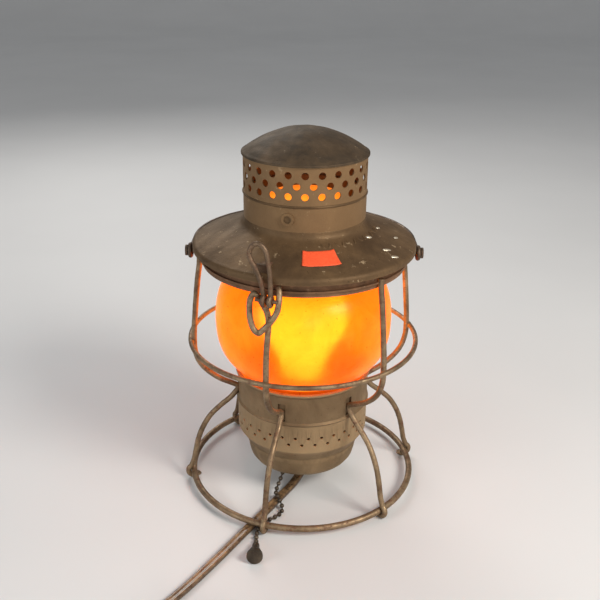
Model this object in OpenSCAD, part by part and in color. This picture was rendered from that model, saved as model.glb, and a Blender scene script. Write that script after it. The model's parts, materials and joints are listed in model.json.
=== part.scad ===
// Wire-bottom railway hand lantern, converted to an electric table lamp.
// Millimetres, +Z up, origin on the lantern's axis in the plane that its feet stand on.
// Azimuths are in degrees about +Z: 0 is the front (-Y), 90 is the right (+X).

/* [Frame] */
// Radius of the base ring's centreline
base_ring_r = 79.6; // [79:0.1:80]
// Wire diameter of the base ring
base_wire_d = 4.4; // [4:0.1:4.6]
// Radius of the guard ring's centreline
guard_ring_r = 77.6; // [77:0.1:78]
// Height of the guard ring
guard_ring_z = 111; // [109:0.5:113]
// Wire diameter of the guard ring
guard_ring_d = 3.3; // [3:0.1:3.6]
// Wire diameter of the six uprights
guard_wire_d = 3.8; // [3.6:0.1:4]
// Outer radius of the top ring's band
top_band_r = 67.5; // [67.3:0.1:67.6]

/* [Pot] */
// Outer radius of the pot's upper wall
pot_r = 46; // [45.5:0.1:46.5]
// Outer radius of the pot's lower cup
cup_r = 39.1; // [38.5:0.1:39.1]
// Sheet thickness of the pot
pot_wall = 1.1; // [0.9:0.1:1.3]
// Number of air holes in each of the pot's two rows
pot_hole_count = 32; // [24:4:36]
// Diameter of the pot's air holes
pot_hole_d = 2.2; // [1.6:0.1:2.6]

/* [Lid] */
// Outer radius of the lid's brim
brim_r = 73.6; // [73:0.1:73.8]
// Outer radius of the collar and the vent band
collar_r = 39.8; // [39:0.1:40.2]
// Sheet thickness of the lid
lid_wall = 0.9; // [0.8:0.1:1]
// Number of vent holes in each of the three rows
vent_count = 24; // [18:2:26]
// Diameter of a vent hole
vent_hole_d = 4.6; // [3.8:0.1:5]
// Height of the top of the dome
total_h = 254; // [252:0.5:256]

/* [Globe and bulb] */
// Largest outer radius of the globe
globe_r = 60.2; // [58:0.1:61]
// Glass thickness of the globe
globe_wall = 2.6; // [2.2:0.1:3]
// Radius of the bulb's glass
bulb_r = 30; // [28:0.5:31]

/* [Bail and latch] */
// Wire diameter of the bail
bail_wire_d = 3.2; // [3:0.1:3.4]
// Distance from the bail's pivots to the top of its arch
bail_reach = 106; // [100:1:112]
// Angle at which the folded bail lies below level
bail_tilt = 1; // [0:0.5:10]
// Wire diameter of the latch hasp
hasp_wire_d = 3; // [2.6:0.1:3]

/* [Cord and chain] */
// Width of the flat two-core cord
cord_w = 6.6; // [6:0.1:6.8]
// Thickness of the flat cord
cord_t = 3.4; // [3:0.1:3.4]
// Radius of the coil, at the middle of its turns
coil_r = 36; // [34:0.5:38]
// Ball diameter of the pull chain
chain_d = 3.2; // [2.8:0.1:3.2]

/* [Hidden] */
$fn = 72;
eps = 0.01;
seam = 0.02;
wire_sides = 8;
hull_fn = 32;

// Places around the axis
az_left = -80;
az_latch = -17.5;
az_front = 43;
az_right = 103;
az_hinge = 162.5;
az_back = -139;

// Rivet that closes the collar's seam
rivet_az = -15;
rivet_z = 206;
rivet_shank_r = 2;
rivet_head_r = 3.9;
rivet_head_l = 1.3;
rivet_dimple_r = 2.3;
rivet_tail_r = 2.8;

// Frame
foot_r = (base_wire_d + guard_wire_d) / 2 + 0.1;
foot_flat = 0.3;
base_ring_z = foot_r + guard_wire_d / 2 - foot_flat;
foot_from = 62;
foot_to = -150;
foot_step = 20;
// The upper wire, as radius and height, from the top ring to where it enters the pot's groove
upper_wire = [[69.3, 173], [69.7, 166], [71.2, 156], [72.6, 144], [73.9, 131], [74.9, 120],
    [75.3, 111], [74.9, 103], [72.2, 94.5], [66.8, 87.2], [58.5, 80.4], [50.5, 76.2]];
groove_wire = [[47, 74.2], [46.2, 72.2], [47.2, 70]];
lower_wire = [[51.5, 64.8], [58.5, 59], [66, 51.6], [71.4, 43], [75.2, 33.5], [77.6, 23.5],
    [79.2, 15.6]];
// The latch wire's pretzel eye, as radius, side and height, from the guard ring up
latch_eye = [[69.6, 6.2, 174], [71.8, 7.4, 171], [73.9, 8, 166.5], [75.2, 7.2, 160],
    [76.2, 3.6, 153.5], [76.7, -1, 148], [76.8, -4, 145.4], [76.4, -7.4, 147.6], [75.6, -9.6, 153.5],
    [74.6, -10.4, 160], [73.8, -10, 165.6], [73.4, -8, 169.2], [73.2, -6, 168.4], [71.4, -4.7, 165.2],
    [70.2, -3.4, 161.4], [70.4, -0.8, 157], [71, 0.4, 151.5], [72.2, 0.5, 145], [73.4, 0.2, 137],
    [74.3, 0, 129], [75, 0, 120]];
top_band_z = 166.8;
top_band_h = 8.8;
top_band_t = 1.2;
top_flange_r = 69.2;
top_flange_z = 170;
top_lip_r = 62.6;

// Hinge
hinge_az = 161;
hinge_r = 79.5;
hinge_z = 174.5;
hinge_pin_r = 1.5;
hinge_fit = 0.08;
knuckle_r = 3;
lid_knuckle_l = 7;
frame_knuckle_l = 4.5;
knuckle_gap = 0.35;
leaf_t = 1;
leaf_w = 13;

// Bail
bail_az = 180;
bail_half = 75.6;
bail_pivot_z = 171.5;
bail_eye_r = 3.6;
stud_r = 1.9;
stud_end = 77.6;
stud_head_r = 3.6;
stud_head_l = 1.4;

// Latch
pin_r = 1.2;
pin_place = [76, 166.8];
pin_from = -6;
pin_to = 8.4;
hasp_eye_r = 2.9;
hasp_side = [-0.8, 3.4];
// The hasp's loop, as radius, side and height, from one eye over the arch to the other
hasp_loop = [[76, -0.8, 169.4], [76, -1.4, 174], [75.9, -3, 180], [75.7, -5.6, 186], [75.4, -8.6, 190.8],
    [75.2, -9.8, 194.6], [75, -8.6, 198.8], [74.9, -5.2, 201.4], [74.9, -1.6, 200], [75, 0.6, 196.6],
    [75.2, 2, 190], [75.5, 2.9, 184], [75.8, 3.4, 177], [76, 3.4, 169.4]];
catch_at = [66.5, 183.5];
catch_from = -6.4;
catch_w = 6.4;

// Lid
brim_top_z = 181.6;
brim_crease_r = 70.6;
brim_edge_z = 176.7;
collar_foot_z = 193.8;
collar_top_z = 213.3;
bead_z = 213.8;
bead_r = 0.8;
band_z = 214.2;
band_top_z = 239;
vent_rows = [220, 226.5, 233];
dome_rim_z = 238.2;
dome_rim_r = 40.9;
flue_r = 23.7;
flue_z = 186.5;
flue_top_z = 210.5;
label_w = 21.8;
label_h = 13;
label_t = 0.3;
label_at = 56.6;
label_az = 9.8;

// Pot, cup and what stands in it
pot_rim_z = 87.6;
pot_taper_z = 42.5;
pot_foot_z = 32.4;
groove_w = 5.2;
groove_depth = 1.8;
groove_low = 66.5;
groove_high = 79.5;
bead_low = 63;
bead_high = 66;
hole_rows = [48.7, 53.8];
cup_top_z = 35;
cup_bottom_z = 16.6;
bracket_z = 26.4;
bracket_t = 1.4;
bracket_w = 13;
leg_x = 20;
foot_l = 9;
rivet_x = 24;
rivet_r = 1.6;
floor_top = cup_bottom_z + pot_wall;
nipple_r = 5;
nipple_bore = 3.6;
nut_r = 8.4;
nut_h = 3;
cap_z = 32;
shell_z = 44;
shell_top_z = 81;
shell_r = 19.5;
shell_t = 0.6;
liner_t = 3.4;
screw_r = 14.2;
screw_t = 0.5;
base_r = 13.2;
base_z = 52.5;
bulb_z = 125;
bulb_neck_z = 84;

// Switch
switch_az = -28;
switch_z = 50;
arm_len = 4.1;
arm_r = 1;
trunnion_r = 1.3;
arm_pivot = 22.9;
box_w = 10;

// Cord's exit, as places in the pot's cup, and the angle at which it leaves
relief_at = [8, 0, 16.6];
relief_az = -30;
relief_drop = 35;
relief_len = 15;
relief_big_r = 5.6;
relief_small_r = 4.4;
relief_neck_r = 4;
chain_hole = [-12.7, -23.8];
grommet_r = 4;
grommet_bore = 2;

// The flat cord's route, from its relief over the floor to the coil
tie_t = 0.6;
cord_route = [[1.6, -11, 7.9], [-1.2, -15.6, 4.9], [-4.4, -21, 2.7], [-7.8, -27, 1.8],
    [-13.6, -37, 1.7], [-20.4, -49, 1.7], [-27.2, -61, 1.7], [-34.2, -73, 1.7],
    [-41.2, -85, 1.7], [-48.6, -98, 1.7], [-57, -112, 1.7], [-65.6, -126, 1.7],
    [-75, -140, 1.7], [-84.4, -153, 1.8], [-93, -165.6, 2], [-99.6, -178, 2.3]];
coil_at = [-62, -200, 0.6];
coil_w = 13.6;
coil_h = 14;
coil_round = 2.5;
tie_az = 200;
tie_w = 6;
plug_at = [-62, -236, 20.6];
plug_l = 26;
plug_w = 21;
plug_h = 12;
plug_neck = 9;
blade_gap = 12.7;
blade_w = 6.3;
blade_l = 16.5;
blade_t = 1.5;

// The ball chain's route, from the pull arm down through the grommet and over the floor
chain_route = [[-12.7, -23.8, 46.4], [-12.7, -23.8, 32], [-12.7, -23.8, 18], [-13.6, -25.6, 12],
    [-15.6, -30, 8], [-17.4, -35.6, 5.8], [-17.6, -40.6, 5.2], [-16, -45.4, 5.2],
    [-13.7, -50, 3.4], [-13, -54, 1.7], [-14.4, -58.6, 1.6], [-18, -62.6, 1.6],
    [-22.6, -66, 1.6], [-26.4, -70.4, 1.6], [-28.6, -76.4, 1.6], [-29.2, -83, 1.6],
    [-29, -88, 1.9], [-28.9, -91.6, 2.4]];
bell_at = [-28.9, -91.4, 2.4];
bell_az = 0;
bell_l = 16;
bell_r = 5.4;

// Swept wires
function unit(v) = v / norm(v);
function curve_at(p, i, f) =
    let (a = p[max(i - 1, 0)], b = p[i], c = p[i + 1], d = p[min(i + 2, len(p) - 1)])
    (2 * b + (c - a) * f + (2 * a - 5 * b + 4 * c - d) * f * f + (3 * b - a - 3 * c + d) * f * f * f) / 2;
function smooth(p, n) =
    concat([for (i = [0 : len(p) - 2]) for (k = [0 : n - 1]) curve_at(p, i, k / n)], [p[len(p) - 1]]);
function along(p) = [for (i = [0 : len(p) - 1]) unit(p[min(i + 1, len(p) - 1)] - p[max(i - 1, 0)])];
function carried(t, n, i = 0, out = []) =
    i == len(t) ? out
    : let (m = unit(n - (n * t[i]) * t[i])) carried(t, m, i + 1, concat(out, [m]));
function standing(rz) = [for (q = rz) [0, -q[0], q[1]]];
function standing3(rtz) = [for (q = rtz) [q[1], -q[0], q[2]]];

// A tube with an elliptical section: across is its full size along the first normal, deep the other
module sweep(path, across, deep, sides, first) {
    t = along(path);
    n = carried(t, first);
    last = len(path) - 1;
    points = [for (i = [0 : last]) for (k = [0 : sides - 1])
        let (a = 360 * k / sides)
        path[i] + n[i] * across / 2 * cos(a) + cross(t[i], n[i]) * deep / 2 * sin(a)];
    walls = [for (i = [0 : last - 1]) for (k = [0 : sides - 1])
        let (a = i * sides + k, b = i * sides + (k + 1) % sides)
        each [[a, a + sides, b], [b, a + sides, b + sides]]];
    ends = [[for (k = [0 : sides - 1]) k], [for (k = [sides - 1 : -1 : 0]) last * sides + k]];
    polyhedron(points = points, faces = concat(walls, ends), convexity = 10);
}

module ring(r, d) {
    rotate_extrude() translate([r, 0]) circle(d = d, $fn = hull_fn);
}

module tube(r, inner, low, high) {
    difference() {
        translate([0, 0, low]) cylinder(r = r, h = high - low);
        translate([0, 0, low - 1]) cylinder(r = inner, h = high - low + 2);
    }
}

// A round bar that points outward at an azimuth
module spoke(az, z, r, from, to) {
    rotate([0, 0, az]) translate([0, -from, z]) rotate([90, 0, 0]) cylinder(r = r, h = to - from);
}

// Lid

module dome_cap() {
    t = lid_wall;
    color([0.36, 0.32, 0.27]) rotate_extrude() difference() {
        polygon([[0, total_h], [9, total_h - 0.5], [17, total_h - 2.1], [25, total_h - 5.1],
            [33, total_h - 9.3], [39.2, total_h - 13.4], [dome_rim_r, total_h - 14.7],
            [dome_rim_r, dome_rim_z], [0, dome_rim_z]]);
        polygon([[-eps, total_h - t], [8.8, total_h - t - 0.5], [16.7, total_h - t - 2.1],
            [24.6, total_h - t - 5.1], [32.5, total_h - t - 9.3], [38.4, total_h - t - 13.2],
            [dome_rim_r - t, total_h - t - 14.2], [dome_rim_r - t, dome_rim_z - 1],
            [-eps, dome_rim_z - 1]]);
    }
}

module vent_band() {
    color([0.45, 0.4, 0.33]) difference() {
        tube(collar_r, collar_r - lid_wall, band_z, band_top_z);
        for (row = [0 : len(vent_rows) - 1])
            for (i = [0 : vent_count - 1])
                spoke((i + (row % 2) / 2) * 360 / vent_count, vent_rows[row], vent_hole_d / 2,
                    collar_r - 4, collar_r + 2);
    }
}

module collar() {
    color([0.5, 0.43, 0.34]) difference() {
        tube(collar_r, collar_r - lid_wall, collar_foot_z, collar_top_z);
        spoke(rivet_az, rivet_z, rivet_shank_r, collar_r - 4, collar_r + 2);
    }
}

module collar_bead() {
    color([0.5, 0.43, 0.34]) rotate_extrude() {
        intersection() {
            translate([collar_r - 0.1, bead_z]) circle(r = bead_r, $fn = hull_fn);
            translate([collar_r + seam, bead_z - bead_r]) square(2 * bead_r);
        }
        translate([collar_r - lid_wall - 0.9, collar_top_z + seam])
            square([lid_wall + 0.9 + 2 * seam, band_z - collar_top_z - 2 * seam]);
    }
}

module collar_rivet() {
    color([0.42, 0.36, 0.29]) difference() {
        union() {
            spoke(rivet_az, rivet_z, rivet_shank_r - seam, collar_r - lid_wall - 1, collar_r + 0.5);
            spoke(rivet_az, rivet_z, rivet_head_r, collar_r + seam, collar_r + rivet_head_l);
            spoke(rivet_az, rivet_z, rivet_tail_r, collar_r - lid_wall - 1, collar_r - lid_wall - 0.13);
        }
        spoke(rivet_az, rivet_z, rivet_dimple_r, collar_r + rivet_head_l - 0.6, collar_r + 3);
    }
}

module lid_plate() {
    t = lid_wall;
    color([0.46, 0.4, 0.32]) rotate_extrude() polygon([
        [collar_r - 1.4, collar_foot_z + 2.2], [collar_r - 1.4, collar_foot_z - 1.2],
        [brim_crease_r - 0.4, brim_top_z - t], [brim_r - t, brim_top_z - 2.4],
        [brim_r - t, brim_edge_z], [brim_r, brim_edge_z], [brim_r, brim_top_z - 1.9],
        [brim_r - 0.8, brim_top_z - 0.9], [brim_crease_r, brim_top_z],
        [collar_r + 1.6, collar_foot_z - 0.4], [collar_r + 0.2, collar_foot_z],
        [collar_r - 0.9 - t / 3, collar_foot_z], [collar_r - 0.9 - t / 3, collar_foot_z + 2.2]]);
}

module lid_skirt() {
    color([0.4, 0.33, 0.26]) rotate_extrude() polygon([[61, 171.8], [62, 171.8], [62, 175.9],
        [67.3, 175.9], [67.3, 176.7], [62, 176.7], [62, 181.8], [65.2, 181.8], [65.2, 182.5], [61, 182.5]]);
}

module flue_tube() {
    color([0.55, 0.42, 0.28]) tube(flue_r, flue_r - lid_wall, flue_z, flue_top_z);
}

module globe_crown() {
    color([0.5, 0.4, 0.3]) rotate_extrude() polygon([[flue_r, flue_z], [flue_r, flue_z + 3],
        [flue_r + 1, flue_z + 3], [flue_r + 1, flue_z + 0.3], [46.6, 168.6], [48, 168], [48, 164.5],
        [47.2, 164.5], [47.2, 167.4], [45.6, 167.8]]);
}

module crown_springs() {
    color([0.45, 0.42, 0.38]) for (a = [45 : 90 : 315])
        rotate([0, 0, a]) translate([-4, 0, 0]) rotate([90, 0, 90]) linear_extrude(8)
            polygon([[-45.6, 169.45], [-58, 178.2], [-60.8, 178.4], [-60.8, 179.3], [-57.7, 179.2],
                [-45.3, 170.5]]);
}

module lid_catch() {
    rise = atan2(collar_foot_z - brim_top_z, brim_crease_r - collar_r);
    color([0.3, 0.26, 0.22]) rotate([0, 0, az_latch]) translate([0, -catch_at[0], catch_at[1]])
        rotate([rise, 0, 0]) {
            translate([catch_from, -4.2, -0.2]) cube([catch_w, 9, 1.3]);
            translate([catch_from, -4.2, -0.2]) cube([catch_w, 1.3, 6.4]);
            translate([catch_from + catch_w / 2, 2, 1]) cylinder(r = 1.7, h = 1);
        }
}

module price_label() {
    t = label_t;
    slope = [brim_crease_r - collar_r - 1.6, brim_top_z - collar_foot_z + 0.4];
    level_h = label_h * cos(atan(slope[1] / slope[0]));
    color([0.93, 0.2, 0.06]) intersection() {
        rotate_extrude() polygon([[collar_r + 1.6, collar_foot_z - 0.4],
            [collar_r + 1.6, collar_foot_z - 0.4 + t], [brim_crease_r, brim_top_z + t],
            [brim_crease_r, brim_top_z]]);
        rotate([0, 0, label_az]) translate([-label_w / 2, -label_at - level_h / 2, brim_top_z])
            cube([label_w, level_h, 20]);
    }
}

module knuckle(from, length) {
    translate([from, -hinge_r, hinge_z]) rotate([0, 90, 0]) cylinder(r = knuckle_r, h = length);
}

module knuckle_bore() {
    translate([-20, -hinge_r, hinge_z]) rotate([0, 90, 0]) cylinder(r = hinge_pin_r + hinge_fit, h = 40);
}

module lid_hinge_leaf() {
    color([0.42, 0.37, 0.3]) rotate([0, 0, hinge_az]) difference() {
        union() {
            knuckle(-lid_knuckle_l / 2, lid_knuckle_l);
            translate([-lid_knuckle_l / 2, -hinge_r, hinge_z + knuckle_r - leaf_t])
                cube([lid_knuckle_l, hinge_r - brim_r, leaf_t]);
        }
        knuckle_bore();
    }
}

module frame_hinge_leaf() {
    start = lid_knuckle_l / 2 + knuckle_gap;
    reach = hinge_r - top_band_r;
    color([0.42, 0.37, 0.3]) rotate([0, 0, hinge_az]) difference() {
        union() {
            for (side = [0, 1]) mirror([side, 0, 0]) {
                knuckle(start, frame_knuckle_l);
                translate([start, -hinge_r, hinge_z - knuckle_r]) cube([frame_knuckle_l, reach - 6, leaf_t]);
            }
            translate([-leaf_w, -hinge_r + 4.6, hinge_z - knuckle_r]) cube([2 * leaf_w, reach - 4.3, leaf_t]);
        }
        knuckle_bore();
    }
}

module hinge_pin() {
    half = lid_knuckle_l / 2 + knuckle_gap + frame_knuckle_l + 0.8;
    color([0.5, 0.47, 0.42]) rotate([0, 0, hinge_az])
        translate([-half, -hinge_r, hinge_z]) rotate([0, 90, 0]) {
            cylinder(r = hinge_pin_r, h = 2 * half);
            translate([0, 0, -0.9]) cylinder(r = hinge_pin_r + 0.9, h = 0.9);
        }
}

// Frame

module top_ring() {
    t = top_band_t;
    color([0.42, 0.33, 0.25]) rotate_extrude() polygon([[top_band_r - t, top_band_z + t],
        [top_lip_r, top_band_z + t], [top_lip_r, top_band_z], [top_band_r, top_band_z],
        [top_band_r, top_flange_z], [top_flange_r, top_flange_z], [top_flange_r, top_flange_z + t],
        [top_band_r, top_flange_z + t], [top_band_r, top_band_z + top_band_h],
        [top_band_r - t, top_band_z + top_band_h]]);
}

module bail_studs() {
    color([0.4, 0.36, 0.3]) for (side = [90, -90]) {
        spoke(bail_az + side, bail_pivot_z, stud_r, top_band_r - 0.3, stud_end + eps);
        spoke(bail_az + side, bail_pivot_z, stud_head_r, stud_end, stud_end + stud_head_l);
    }
}

module guard_ring() {
    color([0.55, 0.5, 0.42]) translate([0, 0, guard_ring_z]) ring(guard_ring_r, guard_ring_d);
}

module base_ring() {
    color([0.55, 0.5, 0.42]) translate([0, 0, base_ring_z]) ring(base_ring_r, base_wire_d);
}

// One upright: the stretch above the guard ring is given, the rest is the same on all six
module upright(az, above) {
    foot = [for (a = [foot_from : -foot_step : foot_to])
        [0, -base_ring_r - foot_r * cos(a), base_ring_z + foot_r * sin(a)]];
    below = standing(concat([for (q = upper_wire) if (q[1] <= guard_ring_z) q], groove_wire, lower_wire));
    color([0.58, 0.52, 0.43]) rotate([0, 0, az]) intersection() {
        sweep(concat(smooth(concat(above, below, [foot[0]]), 2), [for (i = [1 : len(foot) - 1]) foot[i]]),
            guard_wire_d, guard_wire_d, wire_sides, [0, 1, 0]);
        translate([-100, -200, 0]) cube([200, 200, 300]);
    }
}

plain_top = standing([for (q = upper_wire) if (q[1] > guard_ring_z) q]);

module guard_wire_left() {
    upright(az_left, plain_top);
}

module guard_wire_latch() {
    upright(az_latch, standing3(latch_eye));
}

module guard_wire_front() {
    upright(az_front, plain_top);
}

module guard_wire_right() {
    upright(az_right, plain_top);
}

module guard_wire_hinge() {
    upright(az_hinge, plain_top);
}

module guard_wire_back() {
    upright(az_back, plain_top);
}

module latch_pin() {
    color([0.45, 0.4, 0.34]) rotate([0, 0, az_latch]) translate([pin_from, -pin_place[0], pin_place[1]])
        rotate([0, 90, 0]) cylinder(r = pin_r, h = pin_to - pin_from);
}

module latch_hasp() {
    color([0.4, 0.34, 0.28]) rotate([0, 0, az_latch]) {
        sweep(smooth(standing3(hasp_loop), 3), hasp_wire_d, hasp_wire_d, wire_sides, [0, 1, 0]);
        for (side = hasp_side)
            translate([side, -pin_place[0], pin_place[1]]) rotate([0, 90, 0]) ring(hasp_eye_r, hasp_wire_d);
    }
}

module bail_wire() {
    straight = bail_reach - bail_half;
    half = [for (q = [[0, bail_eye_r], [0, 12], [0, 21]]) [bail_half, q[1]]];
    arch = [for (a = [0 : 7.5 : 180]) [bail_half * cos(a), straight + bail_half * sin(a)]];
    other = [for (i = [len(half) - 1 : -1 : 0]) [-half[i][0], half[i][1]]];
    flat_path = concat(half, arch, other);
    color([0.42, 0.38, 0.32]) rotate([0, 0, bail_az]) {
        sweep([for (q = flat_path)
            [q[0], -q[1] * cos(bail_tilt), bail_pivot_z - q[1] * sin(bail_tilt)]],
            bail_wire_d, bail_wire_d, wire_sides, [1, 0, 0]);
        for (side = [-1, 1])
            translate([side * bail_half, 0, bail_pivot_z]) rotate([0, 90, 0]) ring(bail_eye_r, bail_wire_d);
    }
}

// Glass

module globe() {
    w = globe_wall;
    color([1, 0.5, 0.08, 0.7]) rotate_extrude() difference() {
        polygon([[0, 85.4], [44.2, 85.4], [44.6, 89.5], [48.6, 93.2], [52.6, 97.6], [56, 102.8],
            [58.4, 109], [59.8, 116], [globe_r, 124], [globe_r - 0.1, 130], [59.3, 137], [57.6, 144],
            [55, 150.2], [51.6, 155.4], [48, 159.2], [46, 161.4], [45.4, 163.2], [45.2, 167.2],
            [0, 167.2]]);
        polygon([[-eps, 84], [44.2 - w, 84], [44.6 - w, 90.4], [46.8, 95], [50.4, 99.2], [53.6, 104],
            [55.9, 109.8], [57.2, 116.4], [globe_r - w, 124], [globe_r - w - 0.1, 130], [56.8, 136.4],
            [55.1, 142.9], [52.7, 148.6], [49.6, 153.4], [46, 157.2], [43.6, 160], [42.8, 163],
            [42.6, 168], [-eps, 168]]);
    }
}

module globe_seat() {
    color([0.5, 0.45, 0.36]) rotate_extrude() polygon([[38, 83.6], [pot_r - pot_wall - 0.02, 83.6],
        [pot_r - pot_wall - 0.02, 85.38], [39, 85.38], [39, 88.4], [38, 88.4]]);
}

// Pot

module pot_shell() {
    w = pot_wall;
    azimuths = [az_left, az_latch, az_front, az_right, az_hinge, az_back];
    color([0.6, 0.53, 0.42]) difference() {
        union() {
            rotate_extrude() polygon([[pot_r - w, pot_rim_z], [pot_r + 1.3, pot_rim_z],
                [pot_r + 1.3, pot_rim_z - 1.4], [pot_r, pot_rim_z - 3], [pot_r, bead_high],
                [pot_r + 1, (bead_low + bead_high) / 2], [pot_r, bead_low], [pot_r, pot_taper_z],
                [cup_r + 1.3, pot_foot_z + 1.2], [cup_r + 1.3, pot_foot_z], [cup_r + 0.02, pot_foot_z],
                [cup_r + 0.02, pot_foot_z + 1.6], [pot_r - w, pot_taper_z + 0.4]]);
            for (az = azimuths) rotate([0, 0, az])
                translate([-groove_w / 2 - w, -pot_r + 0.5, groove_low - w])
                    cube([groove_w + 2 * w, groove_depth + w - 0.5, groove_high - groove_low + 2 * w]);
        }
        for (az = azimuths) rotate([0, 0, az])
            translate([-groove_w / 2, -pot_r - 3, groove_low])
                cube([groove_w, groove_depth + 3, groove_high - groove_low]);
        for (row = [0 : 1])
            for (i = [0 : pot_hole_count - 1])
                spoke((i + row / 2) * 360 / pot_hole_count, hole_rows[row], pot_hole_d / 2,
                    pot_r - 5, pot_r + 2);
    }
}

module pot_cup() {
    w = pot_wall;
    color([0.56, 0.49, 0.39]) difference() {
        rotate_extrude() polygon([[0, cup_bottom_z], [33, cup_bottom_z], [35.6, cup_bottom_z + 1.2],
            [37.4, cup_bottom_z + 3.8], [38.5, cup_bottom_z + 8], [cup_r, cup_bottom_z + 13],
            [cup_r, cup_top_z], [cup_r - w, cup_top_z], [cup_r - w, cup_bottom_z + 13.2],
            [38.5 - w, cup_bottom_z + 8.4], [37.4 - w, cup_bottom_z + 4.5], [34.9, cup_bottom_z + 2.1],
            [32.7, cup_bottom_z + w], [0, cup_bottom_z + w]]);
        translate([relief_at[0], relief_at[1], cup_bottom_z - 5]) cylinder(r = relief_neck_r, h = 10);
        translate([chain_hole[0], chain_hole[1], cup_bottom_z - 5]) cylinder(r = grommet_r, h = 10);
        for (side = [-1, 1]) translate([side * rivet_x, 0, cup_bottom_z - 5]) cylinder(r = rivet_r, h = 10);
    }
}

module socket_bracket() {
    color([0.62, 0.6, 0.56]) difference() {
        union() {
            translate([-leg_x, -bracket_w / 2, bracket_z]) cube([2 * leg_x, bracket_w, bracket_t]);
            for (side = [0, 1]) mirror([side, 0, 0]) {
                translate([leg_x - bracket_t, -bracket_w / 2, floor_top]) {
                    cube([bracket_t, bracket_w, bracket_z - floor_top + 1]);
                    cube([foot_l, bracket_w, bracket_t]);
                }
            }
        }
        translate([0, 0, bracket_z - 1]) cylinder(r = nipple_r, h = 4);
        for (side = [-1, 1]) translate([side * rivet_x, 0, floor_top - 1]) cylinder(r = rivet_r, h = 4);
    }
}

module bracket_rivets() {
    color([0.6, 0.56, 0.48]) for (side = [-1, 1]) translate([side * rivet_x, 0, 0]) {
        translate([0, 0, cup_bottom_z - 1]) cylinder(r1 = rivet_r + 0.6, r2 = rivet_r + 1.4, h = 1 - eps);
        translate([0, 0, cup_bottom_z - 0.5]) cylinder(r = rivet_r, h = 0.5 + pot_wall + bracket_t + 0.5);
        translate([0, 0, floor_top + bracket_t + eps])
            cylinder(r1 = rivet_r + 1.2, r2 = rivet_r + 0.5, h = 0.8);
    }
}

module nipple() {
    color([0.7, 0.62, 0.4]) tube(nipple_r, nipple_bore, bracket_z - nut_h - 0.8, cap_z + 4);
}

module nipple_nuts() {
    color([0.66, 0.58, 0.38]) for (z = [bracket_z - nut_h, bracket_z + bracket_t]) difference() {
        translate([0, 0, z]) cylinder(r = nut_r, h = nut_h, $fn = 6);
        translate([0, 0, z - 1]) cylinder(r = nipple_r, h = nut_h + 2);
    }
}

// Lampholder

module socket_cap() {
    w = 0.8;
    color([0.72, 0.6, 0.36]) rotate_extrude() polygon([[nipple_r, cap_z], [11, cap_z], [16, cap_z + 3],
        [shell_r + 0.9, cap_z + 9], [shell_r + 0.9, shell_z + 4], [shell_r + 0.1, shell_z + 4],
        [shell_r + 0.1, cap_z + 9.4], [15.6, cap_z + 3.9], [10.8, cap_z + w + 0.2],
        [nipple_r, cap_z + w + 0.2]]);
}

module socket_shell() {
    color([0.74, 0.62, 0.38]) difference() {
        tube(shell_r, shell_r - shell_t, shell_z, shell_top_z);
        spoke(switch_az, switch_z + 1, 3, shell_r - 4, shell_r + 4);
    }
}

module socket_liner() {
    color([0.82, 0.76, 0.62]) difference() {
        tube(shell_r - shell_t, shell_r - shell_t - liner_t, shell_z + 0.5, shell_top_z - 1);
        spoke(switch_az, switch_z + 1, 3, shell_r - 6, shell_r + 4);
    }
}

module screw_shell() {
    color([0.78, 0.66, 0.36]) tube(screw_r, screw_r - screw_t, base_z + 1.5, shell_top_z - 2);
}

module center_contact() {
    color([0.75, 0.6, 0.35]) {
        translate([0, 0, shell_z + 1]) cylinder(r = screw_r, h = 2);
        translate([0, 0, shell_z + 3 - eps]) cylinder(r = 2.4, h = base_z - shell_z - 5.5);
    }
}

module switch_box() {
    low = switch_z - 6;
    color([0.13, 0.12, 0.11]) rotate([0, 0, switch_az]) difference() {
        translate([-box_w / 2, -arm_pivot - 2.6, low]) cube([box_w, 6.5, 13]);
        translate([-box_w / 2 + 1.4, -arm_pivot - 5, low - 1]) cube([box_w - 2.8, 6.8, 12]);
        translate([-box_w, -arm_pivot, switch_z]) rotate([0, 90, 0])
            cylinder(r = trunnion_r + hinge_fit, h = 2 * box_w);
        translate([0, 0, low - 1]) cylinder(r = shell_r + 0.9, h = 20);
    }
}

module pull_arm() {
    color([0.72, 0.64, 0.44]) rotate([0, 0, switch_az]) {
        translate([0, -arm_pivot, switch_z]) rotate([90, 0, 0]) cylinder(r = arm_r, h = arm_len);
        translate([0, -arm_pivot - arm_len, switch_z]) sphere(r = arm_r + 0.5);
        translate([-box_w / 2 - 0.4, -arm_pivot, switch_z]) rotate([0, 90, 0])
            cylinder(r = trunnion_r, h = box_w + 0.8);
    }
}

module socket_leads() {
    color([0.16, 0.12, 0.1]) for (side = [-1, 1])
        sweep(smooth([[5.4 + 2 * side, 4.4, 20.4], [13 + side, 12, 23], [18 + side, 18 + 2 * side, 30],
            [20 + side, 19 + 2 * side, 38], [19 + side, 18 + 2 * side, 43]], 3), 2.2, 2.2, 6, [1, 0, 0]);
}

// Bulb

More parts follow.
